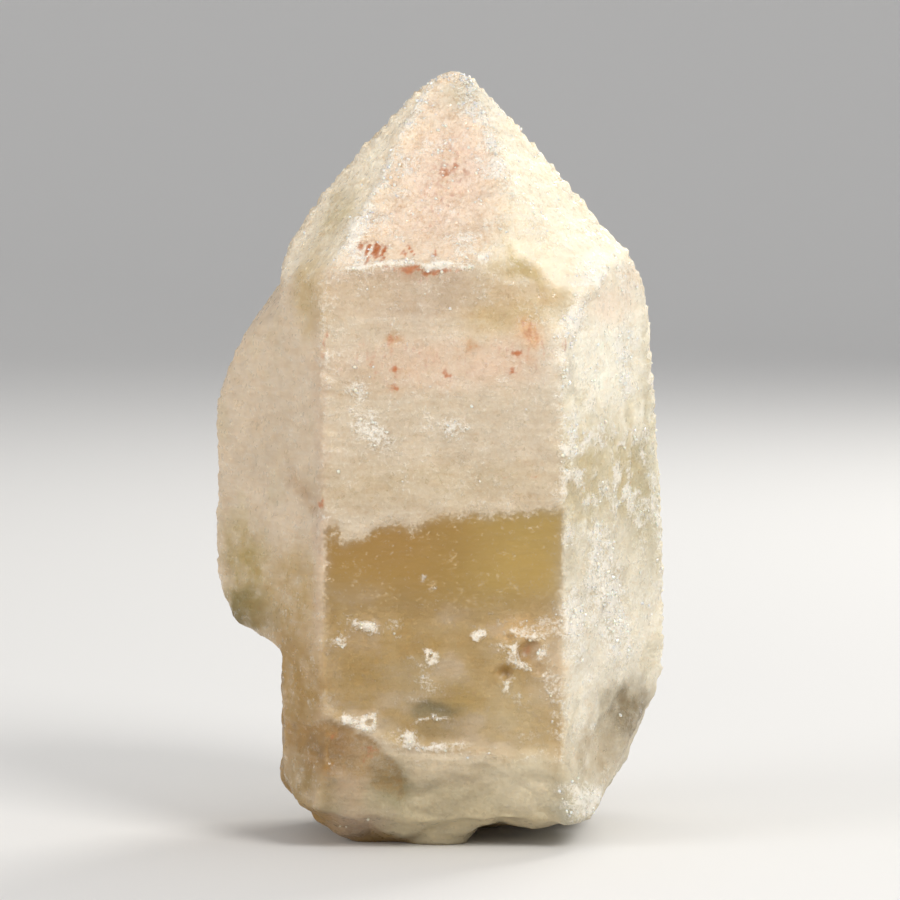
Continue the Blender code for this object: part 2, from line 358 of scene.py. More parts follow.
# Patches of another tone, seen from the front, a few of them painted light or painted shade: (x, z, half
# width, half height, lean in degrees, tone, share)
PATCHES = (
    (2.4, 73.9, 2.2, 1.5, 0, (0.66, 0.57, 0.41), 0.75),
    (0.6, 65.8, 4.2, 4.6, 0, BLUSH, 0.7),
    (-1.5, 61.0, 4.0, 2.4, 0, BLUSH, 0.55),
    (3.2, 68.0, 1.8, 3.6, 0, BLUSH, 0.5),
    (-9.9, 62.0, 1.6, 3.4, -28, (0.66, 0.54, 0.32), 0.8),
    (7.0, 56.9, 2.0, 0.8, 0, (0.52, 0.38, 0.16), 0.9),
    (11.7, 52.8, 0.8, 1.8, 8, (0.56, 0.43, 0.22), 0.9),
    (6.6, 53.4, 4.8, 3.0, 0, (0.6, 0.43, 0.19), 0.85),
    (-4.3, 50.0, 0.75, 0.75, 0, (0.5, 0.27, 0.1), 0.95),
    (3.5, 49.6, 0.7, 0.65, 0, (0.52, 0.31, 0.13), 0.9),
    (12.1, 49.4, 0.5, 0.9, 0, (0.55, 0.3, 0.14), 0.9),
    (8.6, 48.3, 0.7, 0.6, 0, (0.6, 0.34, 0.17), 0.8),
    (-3.0, 54.0, 6.5, 2.6, 0, BLUSH, 0.35),
    (10.4, 54.0, 0.8, 0.9, 0, HONEY, 0.9),
    (1.0, 47.8, 11.0, 2.6, 0, (0.74, 0.53, 0.38), 0.65),
    (8.8, 50.8, 1.7, 1.3, 0, (0.8, 0.46, 0.24), 0.75),
    # Painted highlight: a near-white patch where the key light falls on the upper right face
    (16.0, 49.0, 5.0, 7.0, 0, (1.0, 0.94, 0.78), 0.9),
    (14.6, 20.0, 3.4, 7.0, 0, (0.82, 0.75, 0.61), 0.7),
    (17.0, 52.9, 2.3, 2.0, 0, (0.92, 0.74, 0.57), 0.6),
    (17.0, 36.4, 3.8, 6.0, 25, (0.6, 0.5, 0.29), 0.7),
    (11.2, 15.0, 0.4, 8.0, 0, (0.45, 0.31, 0.15), 0.6),
    (20.6, 31.0, 1.6, 4.4, 0, (0.56, 0.49, 0.31), 0.8),
    (21.8, 40.0, 0.9, 12.0, 0, (0.72, 0.68, 0.52), 0.8),
    (20.6, 40.0, 0.5, 12.0, 0, (0.52, 0.45, 0.29), 0.6),
    # Painted shade: the dent on the lower right break, which faces down and away from the key light
    (19.0, 12.2, 3.2, 4.2, 20, (0.26, 0.2, 0.11), 1.0),
    (15.8, 9.0, 3.2, 3.4, 10, (0.5, 0.41, 0.27), 0.85),
    (13.0, 4.2, 1.8, 3.0, 0, (0.61, 0.57, 0.43), 0.95),
    (-12.3, 54.6, 1.7, 3.8, 0, (0.62, 0.45, 0.2), 0.85),
    (-19.2, 27.0, 2.6, 4.6, 10, (0.43, 0.31, 0.11), 0.9),
    # Painted shade: the two dark patches under the shoulder's ledge, where its overhang shades the face
    (-18.6, 22.0, 3.4, 1.5, 8, (0.18, 0.125, 0.03), 1.0),
    (-19.0, 23.6, 2.8, 1.3, 10, (0.26, 0.19, 0.055), 0.9),
    (-14.6, 25.0, 3.2, 5.0, -20, (0.5, 0.34, 0.14), 0.8),
    (-13.6, 14.5, 3.0, 8.0, 0, (0.39, 0.235, 0.068), 0.9),
    (-15.4, 18.5, 1.8, 3.4, -20, TAN, 0.85),
    (-13.2, 6.2, 2.8, 4.0, -20, (0.345, 0.225, 0.078), 0.9),
    (-10.8, 9.8, 3.0, 2.7, 0, (0.26, 0.13, 0.025), 0.95),
    (-4.6, 7.2, 1.9, 3.0, 15, (0.29, 0.245, 0.125), 0.95),
    (-8.6, 6.0, 1.8, 2.2, 0, (0.56, 0.38, 0.23), 0.7),
    (-8.2, 2.4, 3.2, 1.7, 0, (0.58, 0.42, 0.29), 0.9),
    (0.5, 8.2, 6.5, 1.6, -6, (0.66, 0.54, 0.36), 0.7),
    (8.6, 6.4, 3.6, 3.0, 0, (0.8, 0.69, 0.48), 0.85),
    (-6.6, 12.6, 2.6, 1.0, -12, (0.66, 0.55, 0.4), 0.8),
    (-9.5, 11.0, 2.0, 1.0, -30, (0.42, 0.22, 0.1), 0.6),
    (3.5, 1.8, 8.5, 1.8, 0, (0.84, 0.7, 0.43), 0.85),
    (-0.3, 14.0, 2.5, 1.0, -4, (0.19, 0.158, 0.074), 1.0),
    (0.0, 11.9, 2.7, 1.3, 0, (0.4, 0.28, 0.12), 0.85),
    (8.4, 19.6, 1.0, 1.1, 0, (0.5, 0.29, 0.11), 0.9),
    (6.2, 17.9, 0.9, 0.8, 0, (0.48, 0.29, 0.09), 0.9),
    (8.4, 22.2, 3.6, 1.4, 0, (0.78, 0.52, 0.25), 0.7),
    (-1.0, 54.6, 13.0, 2.4, 0, (0.52, 0.39, 0.26), 0.72),
    (-5.2, 56.2, 6.4, 0.5, 0, (0.52, 0.36, 0.24), 0.6),
    (-13.4, 35.2, 0.8, 3.6, 44, (0.46, 0.3, 0.17), 0.8),
    (-11.6, 36.0, 0.7, 16.0, 0, (0.6, 0.45, 0.32), 0.6),
    (-7.0, 46.0, 4.0, 1.4, 0, (0.6, 0.44, 0.28), 0.5),
    (7.4, 13.8, 3.8, 3.4, 0, (0.68, 0.55, 0.32), 0.65),
    (0.4, 36.2, 13.0, 2.4, 0, (0.56, 0.44, 0.28), 0.7),
    (-7.6, 54.0, 3.0, 2.8, 0, (0.66, 0.51, 0.34), 0.5),
    (-7.4, 35.4, 4.4, 2.4, 0, (0.53, 0.41, 0.26), 0.5),
    (-8.0, 20.5, 3.4, 3.0, 0, (0.43, 0.26, 0.075), 0.6),
    (-8.6, 16.5, 2.4, 2.2, 0, (0.45, 0.29, 0.1), 0.7),
    (0.4, 29.0, 3.4, 3.4, 0, (0.53, 0.32, 0.065), 0.45),
    (-1.5, 23.6, 6.0, 1.1, -4, (0.45, 0.28, 0.085), 0.5),
    (-2.5, 17.0, 3.4, 2.4, 0, (0.5, 0.38, 0.21), 0.6),
    (2.4, 15.2, 2.2, 1.8, 0, (0.47, 0.32, 0.1), 0.6),
    (10.3, 18.4, 1.7, 4.2, 0, (0.72, 0.56, 0.38), 0.65),
    (-1.0, 59.6, 6.5, 1.6, 0, (0.8, 0.62, 0.45), 0.5),
    (16.6, 27.5, 4.5, 5.0, 0, (0.71, 0.64, 0.49), 0.9),
    (-16.5, 38.8, 4.0, 4.0, 0, (0.63, 0.5, 0.35), 0.6),
    (-7.0, 18.0, 4.2, 3.2, 0, (0.42, 0.265, 0.075), 0.45),
    (-6.7, 10.4, 2.6, 1.3, -15, (0.52, 0.41, 0.28), 0.4),
)
PATCH_MOTTLE = 0.35

# A brown, hollow break scar at the lower left of the front, under the band. Lines are lists of (x, z).
SCAR_TOP = ((-14.0, 12.0), (-10.6, 13.0), (-7.0, 11.6), (-4.4, 9.2), (-3.4, 6.0))
SCAR_RIGHT_X = -3.6
SCAR_TONE = (0.34, 0.19, 0.05)
SCAR_DEPTH = 0.35

# Rust stains, seen from the front: (x, z, half width, half height, lean, strength)
RUST_MARKS = (
    (-7.6, 59.0, 0.24, 0.55, 0, 1.0), (-6.9, 58.5, 0.26, 0.95, 0, 1.2), (-6.2, 58.6, 0.24, 0.7, 0, 1.1),
    (-5.5, 58.4, 0.3, 0.9, 0, 1.2), (-3.5, 58.6, 0.28, 0.5, 0, 1.0), (-2.7, 58.5, 0.28, 0.6, 0, 1.0),
    (-0.4, 58.3, 0.24, 0.4, 0, 0.8), (-6.0, 58.6, 2.0, 1.0, 0, 0.2), (-2.0, 56.75, 3.8, 0.3, 2, 0.95),
    (-2.0, 56.1, 4.0, 0.6, 2, 0.28), (0.5, 66.2, 0.35, 0.5, 0, 0.45), (1.4, 66.9, 0.3, 0.5, 0, 0.45),
    (0.3, 65.6, 4.4, 6.0, 0, 0.26), (0.8, 66.6, 2.4, 2.8, 0, 0.2),
    (-1.0, 61.5, 3.6, 2.6, 0, 0.14), (8.8, 51.0, 1.6, 1.2, 0, 0.5),
    (-4.3, 50.0, 0.6, 0.6, 0, 0.42), (3.5, 49.6, 0.5, 0.5, 0, 0.36), (12.1, 49.4, 0.35, 0.8, 0, 0.5),
    (-4.0, 47.6, 0.36, 0.3, 0, 0.9), (-4.3, 45.7, 0.34, 0.3, 0, 0.8), (0.8, 46.9, 0.32, 0.28, 0, 0.8),
    (7.5, 48.4, 0.4, 0.34, 0, 0.9), (7.2, 46.9, 0.36, 0.3, 0, 0.8), (0.0, 48.2, 12.0, 2.4, 0, 0.27),
    (8.8, 48.8, 3.0, 2.2, 0, 0.18), (-5.5, 47.2, 2.4, 1.4, 0, 0.18), (-7.6, 49.2, 2.0, 0.9, 0, 0.12),
    (8.0, 36.9, 2.4, 0.16, 3, 0.6), (-10.9, 51.0, 0.24, 4.2, 0, 0.55), (-11.3, 34.4, 0.4, 0.55, -30, 0.8),
    (-10.5, 11.6, 0.35, 0.3, 0, 0.8), (-7.2, 9.4, 0.6, 0.5, 0, 0.8),
    (-6.2, 10.0, 2.0, 0.3, -18, 0.62), (8.4, 19.7, 0.6, 0.7, 0, 0.5),
)

# Small hollows with a white rim, seen from the front: (x, z, half width, half height, lean, depth)
RIMMED_HOLLOWS = (
    (8.4, 19.7, 1.0, 1.15, 0, 0.8), (6.2, 17.9, 0.8, 0.75, 20, 0.7), (9.6, 18.2, 0.6, 0.6, 0, 0.4),
    (7.0, 21.2, 0.55, 0.5, 0, 0.35), (-0.6, 19.3, 0.35, 0.35, 0, 0.2), (-6.7, 13.3, 0.45, 0.45, 0, 0.35),
)
HOLLOW_SPREAD = 1.1
RIM_RADIUS = 1.15
RIM_WIDTH = 0.34
RIM_HEIGHT = 0.28

# Plain pits and bumps, seen from the front: (x, z, half width, half height, lean, depth or height)
PITS = (
    (-0.4, 14.0, 2.0, 0.7, -6, 0.38), (0.0, 12.0, 2.6, 1.2, 0, 0.35), (2.6, 74.0, 1.4, 1.0, 0, 0.25),
    (11.3, 14.5, 0.25, 8.0, 0, 0.35), (-13.4, 35.0, 0.4, 3.3, 44, 0.3), (-4.6, 6.8, 2.2, 2.0, 0, 0.5),
    (-10.8, 9.8, 2.2, 1.8, 0, 0.3), (-4.3, 50.0, 0.5, 0.5, 0, 0.2), (3.5, 49.6, 0.45, 0.45, 0, 0.2),
    (8.8, 51.0, 1.0, 0.9, 0, 0.15),
)
BUMPS = (
    (4.0, 21.1, 0.5, 0.5, 0, 0.3), (-7.3, 22.3, 1.2, 0.4, -16, 0.3), (-6.7, 13.3, 0.9, 0.8, 0, 0.45),
    (-8.7, 13.3, 0.7, 0.6, 0, 0.35), (-3.0, 11.3, 0.8, 0.7, 0, 0.4), (-19.2, 22.2, 2.0, 1.0, 8, 0.35),
    (-2.5, 57.5, 7.0, 0.45, 1, 0.3), (8.8, 19.3, 2.0, 2.0, 0, 0.25), (14.2, 54.4, 1.4, 1.0, 25, 0.45),
    (13.2, 5.0, 1.8, 2.8, 0, 0.5), (6.2, 16.4, 0.35, 0.8, 24, 0.3),
)

# White sugary crust, seen from the front: (x, z, half width, half height, lean, strength)
CRUSTS = (
    (-7.7, 57.5, 1.2, 0.45, 6, 0.9), (-5.3, 57.3, 0.9, 0.35, 0, 0.8), (-3.4, 57.4, 0.8, 0.4, 0, 0.9),
    (-1.5, 57.2, 0.9, 0.3, 0, 0.8), (0.4, 57.4, 0.8, 0.45, 0, 0.9), (2.3, 57.3, 0.9, 0.35, 0, 0.85),
    (4.2, 57.8, 0.9, 0.5, 0, 0.8), (-7.6, 61.0, 0.9, 2.2, -22, 0.8), (-8.1, 45.2, 1.5, 1.3, 0, 0.4),
    (-7.2, 41.8, 1.4, 1.2, 0, 0.45), (-5.7, 40.4, 1.3, 1.1, 0, 0.4), (1.6, 41.4, 1.2, 1.0, 0, 0.4),
    (-0.6, 19.3, 0.7, 0.75, 0, 1.2), (4.0, 21.1, 0.6, 0.6, 0, 1.1), (-7.3, 22.3, 1.2, 0.4, -16, 1.0),
    (-9.6, 20.7, 0.5, 0.5, 0, 0.7), (8.6, 19.3, 2.1, 2.1, 0, 0.28), (6.2, 16.4, 0.4, 0.9, 24, 0.85),
    (-0.4, 12.95, 1.9, 0.22, -4, 0.75), (-6.7, 13.3, 1.1, 1.0, 0, 1.1), (-8.7, 13.3, 0.9, 0.8, 0, 1.0),
    (-3.0, 11.3, 1.0, 0.9, 0, 1.1), (0.2, 10.4, 3.4, 0.4, 0, 0.6), (13.0, 52.0, 1.4, 2.2, -20, 0.55),
    (-1.5, 27.0, 0.4, 0.4, 0, 0.75), (-0.7, 26.0, 0.4, 0.35, 0, 0.75), (15.5, 22.0, 3.0, 7.0, 0, 0.45),
    (13.2, 5.0, 2.0, 2.6, 0, 0.55), (15.0, 56.0, 2.0, 1.4, 30, 0.5),
)

# The dent at the lower right, which has no crust and whose dark grey is painted shade, and the grainy foot at
# the lower left
SHADED_DENT = (19.0, 12.2, 3.4, 4.4, 20)
GRAINY_FOOT = (-8.2, 2.2, 3.0, 1.4, 0)

# The lower edge of the white lobe at the right of the tip, which hangs over a recess painted golden brown as
# its shade
LOBE_EDGE = (
    (5.6, 60.6), (7.6, 58.6), (9.4, 57.0), (10.8, 55.2), (13.0, 54.0), (15.4, 54.8), (18.0, 57.2),
    (24.0, 63.0),
)
LOBE_RAGGED = 0.22
LOBE_LEFT = (5.6, 7.8)
LOBE_HEIGHT = 0.38
RECESS_DROP = 1.0
RECESS_HALF_HEIGHT = 0.75
RECESS_RIGHT = (13.6, 12.2)
RECESS_DEPTH = 0.22
PEACH_DROP = 2.6
PEACH_HALF_HEIGHT = 2.2
PEACH_LEFT = (12.0, 13.4)
LOBE_WHITE = (1.0, 0.88, 0.67)
RECESS_SHADE = (0.53, 0.41, 0.16)
PEACH = (0.9, 0.72, 0.53)

# The frost stops at a ragged lip across the front face. Below it lies the clear golden window, then mottled
# stone, then a frosted band that sags to the right over the front break.
FROST_LIP = ((-11.1, 32.6), (-8.6, 30.9), (-6.5, 31.7), (-4.3, 32.4), (0.1, 33.1), (5.9, 33.8), (11.7, 34.6))
LIP_RAGGED = 0.28
LIP_HEIGHT = 0.1
LIP_DROP = 0.18
WINDOW_FOOT = 24.6
WINDOW_FADE = 3.2
MOTTLED_CLEARNESS = 0.56
BREAK_CLEARNESS = 0.48
BAND = ((-11.0, 13.6), (-7.0, 12.1), (-3.8, 10.7), (4.0, 9.8), (11.7, 9.2))
BAND_HALF_HEIGHT = 0.7
BAND_LEFT = (-11.5, -10.5)
BAND_RIGHT = (12.4, 11.6)
BAND_HEIGHT = 0.18

# Other places: where the neck's break ends, where the tip starts, how high the back's clear patches reach,
# the middle of the etched right face, how marks wobble, as (size, reach, seed), and how far edges count
NECK_TOP = (22.0, 26.0)
TIP_FOOT = (57.0, 60.0)
CLEAR_BACK_TOP = (60.0, 40.0)
ETCHED_MIDDLE = 37.0
ETCHED_HALF_HEIGHT = 8.0
ETCH_SIZE = 3.4
BITE_SIZE = 1.3
WOBBLE = ((1.7, 0.5, 0), (0.8, 0.22, 3))
EDGE_REACH = 0.8


def smooth(low, high, value):
    """Nothing below low, all above high, and t^2 (3 - 2 t) between them."""
    part = np.clip((value - low) / (high - low), 0.0, 1.0)
    return part * part * (3.0 - 2.0 * part)


def oval(x, z, mark):
    """How much each (x, z) lies within a soft leaning oval: exp(-(across^2 + up^2)^1.5), in half sizes."""
    middle_x, middle_z, half_width, half_height, lean = mark[:5]
    turn = math.radians(lean)
    across = (x - middle_x) * math.cos(turn) + (z - middle_z) * math.sin(turn)
    up = (z - middle_z) * math.cos(turn) - (x - middle_x) * math.sin(turn)
    return np.exp(-(((across / half_width) ** 2 + (up / half_height) ** 2) ** 1.5))


def height_of(line, x):
    """The height of a line of (x, z) points over each x, straight between the points."""
    return np.interp(x, *np.transpose(line))


def laid(base, colour, share):
    """A share of a colour laid over the base at each point: base + share (colour - base)."""
    return base + share[..., None] * (np.asarray(colour) - base)


def shares(points, faces, blend):
    """How much each point belongs to each face: exp(level / blend), scaled to a sum of one."""
    levels = levels_of(points, faces)
    weight = np.exp((levels - levels.max(axis=-1, keepdims=True)) / blend)
    return weight / weight.sum(axis=-1, keepdims=True)


def terraces(points, period, seed):
    """Growth steps up the crystal: the level over the period, bent by noise, is a course; each course leans
    outward as it rises and drops back at its top, by a height of its own."""
    level = points[..., 2] / period + 0.9 * swell(points, 5.0, seed) + 0.25 * swell(points, 1.6, seed + 1)
    course = np.floor(level)
    height = 0.6 + 0.4 * scatter(np.stack([course, 0 * course, 0 * course], axis=-1), seed)
    return (level - course - 0.5) * height


# Where each point lies: on which face, how near an edge, on the shoulder, the breaks or the tip. The marks
# are laid by bent places, so that their outlines wobble.
starts, directions = net_rays()
skin = where_rays_leave(starts, directions)
normals = outward(skin)
level = skin[..., 2]
bends = [sum(reach * swell(skin, size, seed + step) for size, reach, step in WOBBLE) for seed in (3, 4, 5)]
bent = skin + np.stack(bends, axis=-1)
x, z = bent[..., 0], bent[..., 2]
ahead = smooth(0.0, 0.3, -normals[..., 1])
hidden_side = smooth(-0.1, 0.3, normals[..., 1])
body_levels = levels_of(skin, BODY_FACES)
two_highest = np.partition(body_levels, -2, axis=-1)[..., -2]
past_shoulder = body_levels.max(axis=-1) - levels_of(skin, SHOULDER_FACES).max(axis=-1)
on_shoulder = smooth(-0.6, 0.6, past_shoulder)
edge = np.exp(np.minimum(two_highest, 0.0) / EDGE_REACH) * smooth(-0.15, -0.9, past_shoulder)
face_share = dict(zip(BODY_FACES, np.moveaxis(shares(skin, BODY_FACES, TONE_BLEND), -1, 0)))
face_share = {name: share * (1.0 - on_shoulder) for name, share in face_share.items()}
unbroken = face_share["break_neck"] * smooth(*NECK_TOP, level)
face_share["left_back"] = face_share["left_back"] + unbroken
face_share["break_neck"] = face_share["break_neck"] - unbroken
right_front = face_share["right_front"]
tip_front = face_share["tip_front"]
underneath = smooth(0.5, -0.3, level - base_height(skin))
broken = np.clip(sum(face_share[name] for name in BREAKS) + underneath, 0.0, 1.0)
tip = smooth(*TIP_FOOT, level)

# Where the front is clear, frosted or mottled
on_front = face_share["front"] * ahead
lip = height_of(FROST_LIP, x) + LIP_RAGGED * rough(skin, 1.5, 21)
over_band = z - height_of(BAND, x)
below_lip = smooth(0.9, -1.5, z - lip)
window = below_lip * smooth(WINDOW_FOOT - WINDOW_FADE, WINDOW_FOOT + WINDOW_FADE, z) * on_front
mottled = below_lip * smooth(WINDOW_FOOT + WINDOW_FADE, WINDOW_FOOT - WINDOW_FADE, z) * on_front
mottled = mottled * smooth(-0.5, 0.5, over_band)
banded = bell(over_band, BAND_HALF_HEIGHT) * ahead * smooth(*BAND_LEFT, x) * smooth(*BAND_RIGHT, x)
lower = np.clip(broken + on_front * smooth(0.3, -0.3, over_band), 0.0, 1.0)
etching = rough(skin * (1.0, 1.0, 0.7), ETCH_SIZE, 75, 4)
clear = window + MOTTLED_CLEARNESS * mottled + BREAK_CLEARNESS * lower
clear = clear + 0.6 * hidden_side * smooth(0.1, 0.9, rough(skin, 8.0, 61)) * smooth(*CLEAR_BACK_TOP, level)
clear = clear + 0.42 * smooth(0.05, 0.7, etching) * right_front
clear = np.clip(clear - 0.8 * banded, 0.0, 1.0)

# The painted tone, and the tone of the clearer stone under it
tone = sum(share[..., None] * np.array(FACE_TONES[name]) for name, share in face_share.items())
tone = tone + on_shoulder[..., None] * np.array(SHADED_BEIGE)
lightened = np.clip(smooth(-3.0, 9.0, x) + 0.3 * smooth(32.0, 25.0, z), 0.0, 1.0)
gold = laid(np.array(OCHRE), GOLD, lightened)
gold = laid(gold, MOTTLED_GOLD, mottled / (window + mottled + 1e-6))
under = laid(tone * UNDER_TINT, gold, np.clip(window + mottled, 0.0, 1.0))
tone = laid(tone, HAZE, mottled)
mid_height = bell(level - ETCHED_MIDDLE, ETCHED_HALF_HEIGHT)
etched = smooth(0.02, 0.4, etching) * (right_front + 0.4 * on_shoulder) * (0.4 + 0.6 * mid_height)
bite = rough(skin, BITE_SIZE, 131)
bitten = smooth(0.1, 0.35, bite) * mid_height * right_front
tone = laid(tone, ETCHED_TONE, 0.75 * etched)
tone = laid(tone, BITTEN_TONE, 0.5 * bitten)
over_lobe = z - height_of(LOBE_EDGE, x) - LOBE_RAGGED * rough(skin, 1.3, 101)
lobe_side = smooth(*LOBE_LEFT, x) * ahead
lobe = smooth(-0.12, 0.18, over_lobe) * lobe_side
recess = bell(over_lobe + RECESS_DROP, RECESS_HALF_HEIGHT) * lobe_side * smooth(*RECESS_RIGHT, x)
peach = bell(over_lobe + PEACH_DROP, PEACH_HALF_HEIGHT) * ahead * smooth(*PEACH_LEFT, x) * (1.0 - lobe)
# The peach tone, the painted shade in the recess under the lobe, and the lobe's white
for mask, colour, share in ((peach, PEACH, 0.75), (recess, RECESS_SHADE, 0.9), (lobe, LOBE_WHITE, 0.85)):
    tone = laid(tone, colour, share * mask)
    under = laid(under, np.array(colour) * UNDER_SHADE, share * mask)
pitted = smooth(0.12, 0.42, rough(skin, 1.1, 151)) * tip_front * smooth(75.0, 71.0, z)
tone = laid(tone, PITTED_TONE, 0.45 * pitted)
mottle = 1.0 + PATCH_MOTTLE * rough(skin, 1.6, 71)
cloud = rough(skin * (0.8, 0.8, 1.2), 3.4, 111, 4)
for colour, side in ((PINKISH, 1.0), (AMBER, -1.0)):
    share = 0.75 * mottled * smooth(0.05, 0.65, side * cloud)
    tone = laid(tone, colour, share)
    under = laid(under, np.array(colour) * UNDER_CLOUD, share)
for mark in PATCHES:
    colour, strength = mark[5:]
    share = np.clip(strength * oval(x, z, mark) * mottle, 0.0, 1.0) * ahead
    tone = laid(tone, colour, share)
    under = laid(under, np.array(colour) * UNDER_SHADE, 0.8 * share)
scar = smooth(0.25, -0.25, z - height_of(SCAR_TOP, x)) * smooth(0.3, -0.3, x - SCAR_RIGHT_X)
scar = scar * smooth(3.4, 4.6, z + 0.4 * x) * ahead
tone = laid(tone, np.array(SCAR_TONE) * mottle[..., None], 0.75 * scar)
tone = tone * (1.0 + 0.05 * rough(skin, 3.0, 81) + 0.04 * rough(skin, 0.9, 82))[..., None]


def marked(marks):
    """The sum of a table's ovals, each times its strength, on the side that faces the front."""
    return sum(mark[5] * oval(x, z, mark) for mark in marks) * ahead


# Soft marks that the material gives crisp, ragged edges
rust = marked(RUST_MARKS)
bare_edge = np.clip(below_lip * on_front + face_share["left_front"] * smooth(38.0, 32.0, z), 0.0, 1.0)
crust = marked(CRUSTS) + 0.2 * edge * (1.0 - broken) * (1.0 - bare_edge) + 0.12 * banded
crust = crust + (0.14 + 0.1 * rough(skin, 3.5, 63)) * (1.0 - broken) * (1.0 - below_lip * on_front)
crust = crust + right_front * (0.1 + 0.42 * rough(skin * (1.0, 1.0, 0.8), 3.0, 97))
crust = crust + 1.5 * right_front * face_share["front"] * smooth(32.0, 36.0, z)
crust = crust + mottled * (0.02 + 0.38 * rough(skin, 2.6, 65) + 0.2 * smooth(2.0, 9.0, x))
crust = crust - 0.12 * on_shoulder
crust = crust - 0.6 * ahead * oval(x, z, SHADED_DENT) - 0.4 * bitten
crust = crust + 0.38 * smooth(0.1, 0.45, -bite) * mid_height * right_front
crust = crust + 1.6 * tip_front * (face_share["tip_left_front"] + face_share["tip_right_front"])
crust = crust + tip_front * (0.45 * smooth(0.05, 0.6, rough(skin, 2.0, 141)) - 0.1)

# How grainy the surface is: sugary on the tip and the right, finer in front, smooth as wax on the left
GRAIN_SHARES = {"front": 0.38, "right_front": 0.34, "left_front": 0.05, "break_neck": 0.08, "left_back": 0.2}
OTHER_GRAIN = 0.3
grainy = OTHER_GRAIN + sum((share - OTHER_GRAIN) * face_share[name] for name, share in GRAIN_SHARES.items())
grainy = grainy + 0.6 * tip * (1.0 - 0.5 * face_share["tip_left_front"]) - 0.25 * on_shoulder - 0.15 * broken
grainy = grainy - 0.5 * window - 0.22 * mottled + 0.5 * ahead * oval(x, z, GRAINY_FOOT)
grainy = np.clip(grainy + 0.3 * np.clip(crust, 0.0, 1.0) - 0.4 * lobe, 0.03, 1.0)

# The relief, in millimetres outward: waves, ripples, etching, streaks and roughness as (size, height), growth
# steps as (period, height, seed), and the heights of the grain, the pits, the breaks and the crust
WAVES = (8.0, 0.16)
RIPPLES = (2.6, 0.05)
STEPS = ((0.95, 0.22, 13), (2.4, 0.3, 15))
SUGAR_HEIGHT = 0.09
PEBBLE_HEIGHT = 0.06
ETCH_DEPTH = 0.18
ETCH_WAVES = (2.2, 0.16)
STREAKS = (1.8, 0.21)
BITE_DEPTH = 0.16
PIT_DEPTH = 0.12
BREAK_RIDGES = 0.8
BREAK_DROP = 0.33
BREAK_ROUGHNESS = (2.2, 0.17)
CRUST_HEIGHT = 0.1


def noise_of(points, pattern, seed):
    """Noise of a (size, height) pattern over the points, in millimetres."""
    size, rise = pattern
    return rise * rough(points, size, seed)


frosted = 1.0 - np.clip(window + 0.6 * mottled, 0.0, 1.0)
relief = noise_of(skin, WAVES, 11) + noise_of(skin, RIPPLES, 12) * frosted
step_share = (0.3 + 0.5 * tip + 1.3 * edge + 0.5 * on_shoulder) * frosted * (1.0 - 0.7 * broken)
relief = relief + step_share * sum(rise * terraces(skin, period, seed) for period, rise, seed in STEPS)
pebbles = SUGAR_HEIGHT * np.abs(swell(skin, 0.75, 17)) + PEBBLE_HEIGHT * swell(skin, 1.1, 18)
relief = relief + grainy * pebbles
relief = relief - LIP_DROP * below_lip * on_front
etched_skin = skin * (0.8, 0.8, 1.0) + np.array((0.0, 0.0, 0.5)) * skin[..., :1]
relief = relief + noise_of(etched_skin, ETCH_WAVES, 95) * right_front - ETCH_DEPTH * etched
run = 0.5 * skin[..., 0] + 0.866 * skin[..., 1]
streak_skin = np.stack([0.28 * (level + run), level - run, 0.0 * run], axis=-1)
relief = relief + noise_of(streak_skin, STREAKS, 121) * right_front * smooth(36.0, 28.0, level)
relief = relief - BITE_DEPTH * bitten - PIT_DEPTH * pitted
relief = relief + LIP_HEIGHT * ahead * on_front * bell(z - lip - 0.5, 0.6)
relief = relief + BAND_HEIGHT * banded + CRUST_HEIGHT * np.clip(crust, 0.0, 1.0)
relief = relief - SCAR_DEPTH * scar + LOBE_HEIGHT * lobe * smooth(4.0, 0.0, over_lobe) - RECESS_DEPTH * recess
cracks = BREAK_RIDGES * np.abs(rough(skin, 6.5, 91)) - BREAK_DROP
relief = relief + broken * (cracks + noise_of(skin, BREAK_ROUGHNESS, 93))
for mark in RIMMED_HOLLOWS:
    middle_x, middle_z, half_width, half_height, turned, depth = mark
    spread = (middle_x, middle_z, half_width * HOLLOW_SPREAD, half_height * HOLLOW_SPREAD, turned)
    within = oval(x, z, spread)
    away = (-np.log(np.maximum(within, 1e-9))) ** (1.0 / 3.0)
    ring = bell(away - RIM_RADIUS, RIM_WIDTH) * ahead
    crust = crust + (0.3 + 0.5 * swell(skin, 1.0, 67)) * ring - 1.2 * within * ahead
    relief = relief + RIM_HEIGHT * ring - depth * within * ahead
relief = relief - marked(PITS) + marked(BUMPS)
ends = np.ones(skin.shape[:2])
ends[[0, -1]] = 0.0
relief = relief * ends * smooth(-0.02, 1.0, level + 0.25 * (1.0 - underneath))
skin = skin + relief[..., None] * normals
skin[..., 2] = np.maximum(skin[..., 2], 0.0)
skin_mesh = net_mesh("crystal", skin)


def store(mesh, name, values):
    """Stores a value or a colour for each vertex, in the order in which net_mesh lays the net's points."""
    rows = np.concatenate([values[1:-1].reshape(-1, *values.shape[2:]), values[0, :1], values[-1, :1]])
    if rows.ndim == 1:
        mesh.attributes.new(name, "FLOAT", "POINT").data.foreach_set("value", rows.astype(np.float32))
        return
    colours = np.concatenate([np.clip(rows, 0.0, 1.0), np.ones((len(rows), 1))], axis=1).astype(np.float32)
    mesh.attributes.new(name, "FLOAT_COLOR", "POINT").data.foreach_set("color", colours.ravel())


PAINTED = {
    "tone": tone, "under": under, "clear": clear, "ragged": 1.0 - 0.65 * mottled - 0.6 * lower,
    "rust": rust, "grainy": grainy, "crust": np.clip(crust, 0.0, 1.0),
}
for name, values in PAINTED.items():
    store(skin_mesh, name, values)


def put(name, data):
    """A new object of the scene with the given data."""
    made = bpy.data.objects.new(name, data)
    bpy.context.scene.collection.objects.link(made)
    return made


crystal = put("crystal", skin_mesh)


